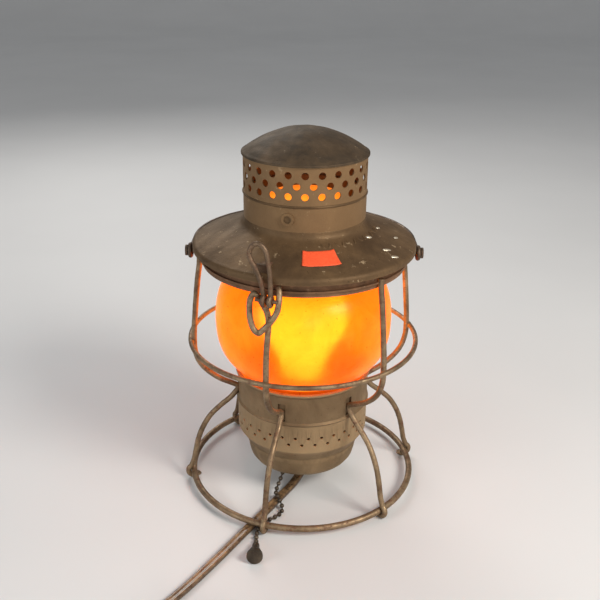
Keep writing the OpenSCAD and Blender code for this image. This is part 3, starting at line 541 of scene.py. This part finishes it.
def coil_path():
    """The turns of the coil, from where the floor route reaches it, and the bend up to the plug on top."""
    start = math.degrees(math.atan2(CORD_ROUTE[-1][1] - COIL[1], CORD_ROUTE[-1][0] - COIL[0]))
    first_r = math.hypot(CORD_ROUTE[-1][0] - COIL[0], CORD_ROUTE[-1][1] - COIL[1])
    low = COIL[2] + CORD_T / 2
    leave = 360 * len(COIL_SLOTS) + LEAVE_AT - start
    out = []
    for a in range(6, int(leave), 6):
        turn = min(a // 360, len(COIL_SLOTS) - 1)
        r, layer = COIL_SLOTS[turn]
        r0, l0 = COIL_SLOTS[turn - 1] if turn else (first_r, layer)
        into = ease((a - 360 * turn) / SHIFT)
        out.append(on_circle(COIL, r0 + (r - r0) * into, start + a, low + CORD_T * (l0 + (layer - l0) * into)))
    top = low + CORD_T * COIL_SLOTS[-1][1]
    bend = (PLUG_END[0], PLUG_END[1] + END_BEND)
    wide = bend[0] - END_BEND - COIL[0], bend[1] - COIL[1]
    meet = math.degrees(math.atan2(wide[1], wide[0])) % 360
    for a in range(int(LEAVE_AT) + 6, int(meet), 6):
        f = ease((a - LEAVE_AT) / (meet - LEAVE_AT))
        r = COIL_IN + (math.hypot(*wide) - COIL_IN) * f
        out.append(on_circle(COIL, r, a, top + (PLUG_END[2] - top) * ease((a - RISE_AT) / RISE_OVER)))
    for a in range(186, 271, 6):
        out.append(on_circle(bend, END_BEND, a, top + (PLUG_END[2] - top) * ease((a - RISE_AT) / RISE_OVER)))
    out.append(Vector(PLUG_END))
    return out


def flat_cord_section(_, n, b):
    """Two round cores side by side, joined by a thin web."""
    core = CORD_T / 2
    gap = CORD_W / 2 - core
    ring = []
    for side in (1, -1):
        for k in range(-4, 5):
            a = math.radians(k * 33)
            u = side * (gap + core * math.cos(a))
            v = side * core * math.sin(a)
            ring.append((n * u + b * v) * MM)
    return ring


def level(ts):
    """Normals that keep the flat cord lying flat."""
    out = []
    for t in ts:
        out.append(t.cross(Vector((0, 0, 1))).normalized())
    return out


def make_cord():
    route = [Vector(p) for p in smooth(CORD_ROUTE, 6)]
    path = [p * MM for p in evenly(route[:-1] + coil_path(), 2.2)]
    verts, faces = tube_mesh(path, flat_cord_section, level)
    obj = piece("power_cord_flex", verts, faces, "frame", looks["cord_sheath"], 60)
    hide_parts("power_cord", "cord_coil")
    make_plug()


def make_plug():
    """A moulded two-blade plug: a soft wedge with grip ridges on its flanks."""
    at = (-62, -236, 20.6)
    stations = [(-12.8, 3.2, 2.4), (-11.4, 4.6, 3.2), (-8, 6.2, 4.3), (-4, 7.6, 5.2), (0, 8.6, 5.6),
                (4, 9.2, 5.8), (8, 9.4, 5.9), (11.6, 9.4, 5.9), (12.9, 8.9, 5.4)]
    verts, faces = [], []
    count = 32
    dense = smooth([(x, w, h) for x, w, h in stations], 5)
    for x, w, h in dense:
        ridge = 0.35 * math.sin(x * 2.6) if -2 < x < 9 else 0.0
        for k in range(count):
            a = 2 * math.pi * k / count
            c, s = math.cos(a), math.sin(a)
            u = math.copysign(abs(c) ** 0.55, c) * (w - max(0.0, ridge) * (abs(c) > 0.8))
            v = math.copysign(abs(s) ** 0.55, s) * h
            verts.append(Vector((at[0] + x, at[1] + u, at[2] + v)) * MM)
    for i in range(len(dense) - 1):
        for k in range(count):
            a, b = i * count + k, i * count + (k + 1) % count
            faces.append([a, b, b + count, a + count])
    faces.append(list(range(count)))
    faces.append([(len(dense) - 1) * count + k for k in range(count)])
    obj = piece("plug_moulding", verts, faces, "frame", looks["cord_sheath"], 50)
    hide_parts("plug_body")
    return obj


make_cord()


# ---------------------------------------------------------------- ball chain

CHAIN_D = 3.2
CHAIN_PITCH = 0.0043
LINK_R = 0.55
CHAIN_ROUTE = [(-12.7, -23.8, 46.4), (-12.7, -23.8, 32), (-12.7, -23.8, 18), (-13.6, -25.6, 12),
               (-15.6, -30, 8), (-17.4, -35.6, 5.8), (-17.6, -40.6, 5.2), (-16, -45.4, 5.2),
               (-13.7, -50, 3.4), (-13, -54, 1.7), (-14.4, -58.6, 1.6), (-18, -62.6, 1.6),
               (-22.6, -66, 1.6), (-26.4, -70.4, 1.6), (-28.6, -76.4, 1.6), (-29.2, -83, 1.6),
               (-29, -88, 1.9), (-28.9, -91.6, 2.4)]


def ball(centre, r, verts, faces, rings=7, sides=12):
    base = len(verts)
    verts.append(centre + Vector((0, 0, r)))
    for i in range(1, rings):
        a = math.pi * i / rings
        for k in range(sides):
            b = 2 * math.pi * k / sides
            verts.append(centre + Vector((math.sin(a) * math.cos(b), math.sin(a) * math.sin(b), math.cos(a))) * r)
    verts.append(centre - Vector((0, 0, r)))
    last = len(verts) - 1
    for k in range(sides):
        m = (k + 1) % sides
        faces.append([base, base + 1 + k, base + 1 + m])
        for i in range(rings - 2):
            a = base + 1 + i * sides
            faces.append([a + k, a + sides + k, a + sides + m, a + m])
        a = base + 1 + (rings - 2) * sides
        faces.append([a + k, last, a + m])


def make_chain():
    line = [p * MM for p in evenly(smooth(CHAIN_ROUTE, 10), 0.4)]
    balls = evenly(line, CHAIN_PITCH)
    verts, faces = [], []
    for p in balls:
        ball(p, CHAIN_D / 2 * MM, verts, faces)
    v2, f2 = tube_mesh(evenly(line, 0.001), wire_section(LINK_R, 6), (1, 0, 0))
    faces += [[i + len(verts) for i in f] for f in f2]
    verts += v2
    obj = piece("pull_chain_balls", verts, faces, None, looks["chain_metal"], 50)
    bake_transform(obj)
    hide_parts("pull_chain")


make_chain()


# ---------------------------------------------------------------- guard wires, hasp and bail

AZ = {"guard_wire_left": -80, "guard_wire_latch": -17.5, "guard_wire_front": 43,
      "guard_wire_right": 103, "guard_wire_hinge": 162.5, "guard_wire_back": -139}
UPPER = [(69.3, 173), (69.7, 166), (71.2, 156), (72.6, 144), (73.9, 131), (74.9, 120),
         (75.3, 111), (74.9, 103), (72.2, 94.5), (66.8, 87.2), (58.5, 80.4), (50.5, 76.2)]
GROOVE = [(47, 74.2), (46.2, 72.2), (47.2, 70)]
LOWER = [(51.5, 64.8), (58.5, 59), (66, 51.6), (71.4, 43), (75.2, 33.5), (77.6, 23.5), (79.2, 15.6)]
EYE = [(69.6, 6.2, 174), (71.8, 7.4, 171), (73.9, 8, 166.5), (75.2, 7.2, 160),
       (76.2, 3.6, 153.5), (76.7, -1, 148), (76.8, -4, 145.4), (76.4, -7.4, 147.6), (75.6, -9.6, 153.5),
       (74.6, -10.4, 160), (73.8, -10, 165.6), (73.4, -8, 169.2), (73.2, -6, 168.4), (71.4, -4.7, 165.2),
       (70.2, -3.4, 161.4), (70.4, -0.8, 157), (71, 0.4, 151.5), (72.2, 0.5, 145), (73.4, 0.2, 137),
       (74.3, 0, 129), (75, 0, 120)]
HASP = [(76, -0.8, 169.4), (76, -1.4, 174), (75.9, -3, 180), (75.7, -5.6, 186), (75.4, -8.6, 190.8),
        (75.2, -9.8, 194.6), (75, -8.6, 198.8), (74.9, -5.2, 201.4), (74.9, -1.6, 200), (75, 0.6, 196.6),
        (75.2, 2, 190), (75.5, 2.9, 184), (75.8, 3.4, 177), (76, 3.4, 169.4)]
PIN = (76, 166.8)
HASP_EYES = (-0.8, 3.4)
HASP_EYE_R = 2.9
HASP_WIRE_R = 1.5
FOOT_R = 4.2
RING_R = 79.6
RING_Z = 5.8
WIRE_R = 1.9
GUARD_RING = (76.5, 111)


def make_guard(name, az, seed):
    if name == "guard_wire_latch":
        top = list(EYE)
    else:
        top = [(r, 0, z) for r, z in UPPER if z > GUARD_RING[1]]
    below = [(r, 0, z) for r, z in UPPER if z <= GUARD_RING[1]]
    below += [(r, 0, z) for r, z in GROOVE + LOWER]
    foot = []
    for a in range(62, -151, -10):
        foot.append((RING_R + FOOT_R * math.cos(math.radians(a)), 0, RING_Z + FOOT_R * math.sin(math.radians(a))))
    points = [around(az, r, z, t) for r, t, z in top + below]
    hook = [around(az, r, z, t) for r, t, z in foot]
    path = smooth(points + [hook[0]], 8)[:-1] + smooth(hook, 2)
    side = around(az, 0, 0, 1000).normalized()
    verts, faces = tube_mesh(path, wire_section(WIRE_R, 14, 0.045, seed), tuple(side))
    for v in verts:
        v.z = max(v.z, 0.0)
    obj = piece(name + "_rod", verts, faces, "frame", looks["guard_steel"], 70)
    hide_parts(name)


for number, (wire_name, wire_az) in enumerate(AZ.items()):
    make_guard(wire_name, wire_az, number)


def torus(centre, axis, ring_r, wire_r, verts, faces, steps=28, sides=12):
    axis = Vector(axis).normalized()
    u = axis.orthogonal().normalized()
    w = axis.cross(u)
    base = len(verts)
    for i in range(steps):
        a = 2 * math.pi * i / steps
        out = u * math.cos(a) + w * math.sin(a)
        for k in range(sides):
            b = 2 * math.pi * k / sides
            verts.append(centre + (out * (ring_r + wire_r * math.cos(b)) + axis * wire_r * math.sin(b)) * MM)
    for i in range(steps):
        for k in range(sides):
            m, j = (k + 1) % sides, (i + 1) % steps
            faces.append([base + i * sides + k, base + j * sides + k, base + j * sides + m, base + i * sides + m])


def make_hasp():
    az = AZ["guard_wire_latch"]
    path = smooth([around(az, r, z, t) for r, t, z in HASP], 8)
    side = around(az, 0, 0, 1000).normalized()
    verts, faces = tube_mesh(path, wire_section(HASP_WIRE_R, 14, 0.04, 11), tuple(side))
    for t in HASP_EYES:
        torus(around(az, PIN[0], PIN[1], t), side, HASP_EYE_R, HASP_WIRE_R, verts, faces)
    obj = piece("latch_hasp_wire", verts, faces, "hasp", looks["dark_steel"], 70)
    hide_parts("latch_hasp")


make_hasp()

BAIL_AZ = 180
BAIL_HALF = 75.6
BAIL_EYE = 3.6
BAIL_Z = 171.5
BAIL_REACH = 106
BAIL_TILT = 1
BAIL_WIRE_R = 1.6


def make_bail():
    across = around(BAIL_AZ, 0, 0, 1000).normalized()
    back = around(BAIL_AZ, 1000, 0).normalized()
    tilt = math.radians(BAIL_TILT)
    along = back * math.cos(tilt) - Vector((0, 0, 1)) * math.sin(tilt)
    flat = [(BAIL_HALF, BAIL_EYE), (BAIL_HALF, 12), (BAIL_HALF, 21)]
    straight = BAIL_REACH - BAIL_HALF
    arch = [(BAIL_HALF * math.cos(math.radians(a)), straight + BAIL_HALF * math.sin(math.radians(a)))
            for a in range(0, 181, 5)]
    flat += arch + [(-x, y) for x, y in flat[::-1]]
    centre = Vector((0, 0, BAIL_Z * MM))
    path = smooth([centre + (across * x + along * y) * MM for x, y in flat], 3)
    verts, faces = tube_mesh(path, wire_section(BAIL_WIRE_R, 14, 0.05, 23), tuple(across))
    for side in (-1, 1):
        torus(centre + across * side * BAIL_HALF * MM, across, BAIL_EYE, BAIL_WIRE_R, verts, faces)
    obj = piece("bail_handle", verts, faces, "bail", looks["bail_steel"], 70)
    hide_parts("bail_wire")


make_bail()


# ---------------------------------------------------------------- welds, where each upright crosses the guard ring

WELD_R = 0.0024


def make_welds():
    verts, faces = [], []
    for az in AZ.values():
        centre = around(az, *GUARD_RING)
        base = len(verts)
        ball(Vector((0, 0, 0)), WELD_R, verts, faces, 8, 14)
        out = around(az, 1000, 0).normalized()
        side = around(az, 0, 0, 1000).normalized()
        for i in range(base, len(verts)):
            v = verts[i]
            lump = 1 + 0.12 * math.sin(900 * v.x + az) * math.cos(800 * v.z + az)
            verts[i] = centre + (out * v.x * 0.7 + side * v.y * 1.25 + Vector((0, 0, v.z * 0.85))) * lump
    piece("ring_welds", verts, faces, "frame", looks["guard_steel"])


make_welds()


# ---------------------------------------------------------------- lid

def rounded(points, n):
    return [(p.x, p.y) for p in smooth([(r, z, 0) for r, z in points], n)]


def make_dome():
    outer = [(0, 254), (5, 253.85), (9, 253.5), (13, 252.9), (17, 251.9), (21, 250.5), (25, 248.9), (29, 247),
             (33, 244.7), (36.4, 242.6), (39.2, 240.6), (40.5, 239.8), (40.9, 239.2), (40.9, 238.2)]
    inner = [(40.1, 238.2), (40.1, 239.0), (38.4, 239.9), (32.5, 243.8), (24.6, 248), (16.7, 251), (8.8, 252.6),
             (0, 253.1)]
    verts, faces = revolve_mesh(rounded(outer, 4) + inner, 128, closed=False)
    for v in verts:
        r = math.hypot(v.x, v.y)
        if v.z > 0.2395:
            a = math.atan2(v.y, v.x)
            v.z -= 0.00022 * (1 + math.sin(3 * a + 60 * r) * math.cos(5 * a - 90 * r)) * min(1, r / 0.02)
    obj = piece("dome_cap_shell", verts, faces, "lid", looks["dome_paint"], 50)
    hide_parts("dome_cap")


def make_brim():
    outer = [(39.7, 198.2), (39.95, 197.6), (40.15, 196.4), (40.6, 195), (41.5, 193.85), (43.2, 192.75),
             (46, 191.5), (52, 189.1), (58, 186.7), (64, 184.25), (68.4, 182.5),
             (70.6, 181.58), (71.6, 181.2), (72.5, 180.75), (73.2, 180.0), (73.57, 179.0),
             (73.6, 178), (73.6, 176.7)]
    inner = [(72.7, 176.7), (72.7, 179.2), (70.2, 180.7), (38.4, 192.6), (38.4, 193.7), (39.6, 193.9)]
    verts, faces = revolve_mesh(rounded(outer, 3) + inner, 160)
    obj = piece("lid_brim_shell", verts, faces, "lid", looks["lid_paint"], 40)
    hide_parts("lid_plate")


BRIM_TOP = (41.4, 193.4)
BRIM_FALL = 11.8 / 29.2


def brim_point(az, r, lift):
    """A point on the brim's slope, lifted off it in millimetres."""
    return around(az, r, BRIM_TOP[1] - (r - BRIM_TOP[0]) * BRIM_FALL + lift)


def raised_dash(az, r, length, width, turn, verts, faces):
    """A low pill-shaped boss on the brim; turn is its angle away from the radius."""
    base = len(verts)
    count = 16
    c, d = math.cos(math.radians(turn)), math.sin(math.radians(turn))
    for scale, lift in ((1.0, -0.05), (0.8, 0.34), (0.45, 0.48)):
        for k in range(count):
            t = 2 * math.pi * k / count
            along = math.copysign(abs(math.sin(t)) ** 0.8, math.sin(t)) * length / 2 * scale
            over = math.cos(t) * width * scale / 2
            dr, side = along * c - over * d, along * d + over * c
            verts.append(brim_point(az + math.degrees(side / r), r + dr, lift))
    for j in range(2):
        for k in range(count):
            m = (k + 1) % count
            faces.append([base + j * count + k, base + j * count + m,
                          base + (j + 1) * count + m, base + (j + 1) * count + k])
    faces.append([base + 2 * count + k for k in range(count)])


# Dashes on rubbed tin painted bright as glints, as azimuth, radius and length.
GLINT_DASHES = [(82, 48, 4.2), (58, 47.7, 4.8), (79, 60.2, 4.4), (57, 61.3, 6.5), (55.5, 68, 6)]


def make_embossing():
    """Blank raised dashes on the brim's right half, in place of lettering; five are rubbed bare, and their bright
    colour is a painted glint.
    """
    verts, faces = [], []
    for k in range(13):
        raised_dash(14 + 5.6 * k, 46.5, 4.6, 1.5, 25 * (-1) ** k, verts, faces)
    piece("brim_embossing", verts, faces, "lid", looks["lid_paint"], 60)
    verts, faces = [], []
    for az, r, length in GLINT_DASHES:
        raised_dash(az, r, length, 1.9, 62, verts, faces)
    # painted glints: rubbed tin painted far lighter than the chipped metal elsewhere, standing in for highlights
    glint_tin = aged_paint("rubbed_glint_tin", (0.75, 0.66, 0.52), (0.5, 0.42, 0.32), (0.8, 0.74, 0.62), metal=0.7, rough=0.32)
    piece("brim_embossing_glints", verts, faces, "lid", glint_tin, 60)


LABEL_AT = (9.8, 56.6)
LABEL_HALF = (10.9, 6.2)


def make_label():
    """A blank paper label, its corners a little lifted."""
    verts, faces = [], []
    nu, nv = 24, 14
    for j in range(nv + 1):
        for i in range(nu + 1):
            u, v = i / nu * 2 - 1, j / nv * 2 - 1
            r = LABEL_AT[1] - v * LABEL_HALF[1]
            az = LABEL_AT[0] + math.degrees(u * LABEL_HALF[0] / LABEL_AT[1])
            curl = 0.55 * max(0.0, abs(u) - 0.7) * max(0.0, abs(v) - 0.3) / 0.21
            ripple = 0.03 * math.sin(u * 9 + v * 3)
            verts.append(brim_point(az, r, 0.22 + curl + ripple))
    row = nu + 1
    for j in range(nv):
        for i in range(nu):
            a = j * row + i
            faces.append([a, a + 1, a + row + 1, a + row])
    obj = piece("price_label_paper", verts, faces, "lid", looks["label_paper"])
    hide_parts("price_label")
    solid = obj.modifiers.new("thickness", "SOLIDIFY")
    solid.thickness = 0.00012


make_dome()
make_brim()
make_embossing()
make_label()


# ---------------------------------------------------------------- globe and bulb

def make_globe():
    outer = [(44.2, 85.4), (44.35, 87.5), (44.6, 89.5), (46.4, 91.4), (48.6, 93.2), (52.6, 97.6), (56, 102.8),
             (58.4, 109), (59.8, 116), (60.2, 124), (60.1, 130), (59.3, 137), (57.6, 144), (55, 150.2),
             (51.6, 155.4), (48.2, 159), (46.2, 161.2), (45.4, 163.2), (45.2, 167.2)]
    inner = [(42.6, 167.2), (42.8, 163), (43.6, 160), (46, 157.2), (49.6, 153.4), (52.7, 148.6), (55.1, 142.9),
             (56.8, 136.4), (57.5, 130), (57.6, 124), (57.2, 116.4), (55.9, 109.8), (53.6, 104), (50.4, 99.2),
             (46.8, 95), (42, 90.4), (41.6, 85.4)]
    verts, faces = revolve_mesh(rounded(outer, 4) + rounded(inner, 4), 144)
    for v in verts:
        a = math.atan2(v.y, v.x)
        k = 1 - 0.0016 * (1 + math.sin(4 * a + 70 * v.z))
        v.x *= k
        v.y *= k
    obj = piece("globe_glass", verts, faces, "frame", looks["amber_glass"], 60)
    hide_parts("globe")


make_globe()
nodes["flue_tube"].data.materials[0] = lit_tin()
nodes["bail_studs"].data.materials[0] = looks["bail_steel"]
nodes["collar_rivet"].data.materials[0] = looks["lid_paint"]


# ---------------------------------------------------------------- floor and light

def make_floor():
    """A pale round floor that curves up into a low wall, far from the lantern."""
    flat_r, curve, under = 3.0, 1.4, -0.0002
    profile = [(0, 0), (0.6, 0), (flat_r, 0)]
    profile += [(flat_r + curve * math.sin(a), curve * (1 - math.cos(a)))
                for a in (math.pi / 2 * k / 12 for k in range(1, 13))]
    verts, faces = revolve_mesh([(r / MM, (z + under) / MM) for r, z in profile], 96, closed=False)
    mesh = bpy.data.meshes.new("floor")
    mesh.from_pydata([tuple(v) for v in verts], [], faces)
    for f in mesh.polygons:
        f.use_smooth = True
    s = Shader("floor_card")
    s.to("Base Color", s.mix(s.ramp(s.noise(3, 3), [(0.3, 0.0), (0.7, 1.0)]), (0.66, 0.66, 0.66), (0.7, 0.7, 0.7)))
    s.set(Roughness=0.7)
    mesh.materials.append(s.material)
    obj = bpy.data.objects.new("floor", mesh)
    bpy.context.scene.collection.objects.link(obj)


def area(name, place, aim, size, power, colour=(1, 1, 1)):
    data = bpy.data.lights.new(name, "AREA")
    data.shape = "DISK"
    data.size = size
    data.energy = power
    data.color = colour
    obj = bpy.data.objects.new(name, data)
    bpy.context.scene.collection.objects.link(obj)
    obj.location = place
    obj.rotation_euler = (Vector(aim) - Vector(place)).to_track_quat("-Z", "Y").to_euler()


def make_lights():
    world = bpy.data.worlds.new("studio")
    world.use_nodes = True
    back = world.node_tree.nodes["Background"]
    back.inputs[0].default_value = (0.92, 0.94, 0.96, 1)
    back.inputs[1].default_value = 0.33
    bpy.context.scene.world = world
    area("key", (0.8, -0.6, 0.85), (0, 0, 0.12), 0.5, 13, (1.0, 0.95, 0.88))
    area("fill", (-0.8, -0.6, 0.35), (0, 0, 0.1), 0.7, 3.2, (0.92, 0.96, 1.0))
    area("rim", (-0.3, 0.9, 0.8), (0, 0, 0.15), 0.5, 4.5, (1.0, 0.97, 0.93))
    area("front", (0.25, -1.3, 0.45), (0, 0, 0.15), 0.35, 3.5, (1.0, 0.96, 0.9))


make_floor()
make_lights()
bpy.context.scene.view_settings.view_transform = "Standard"
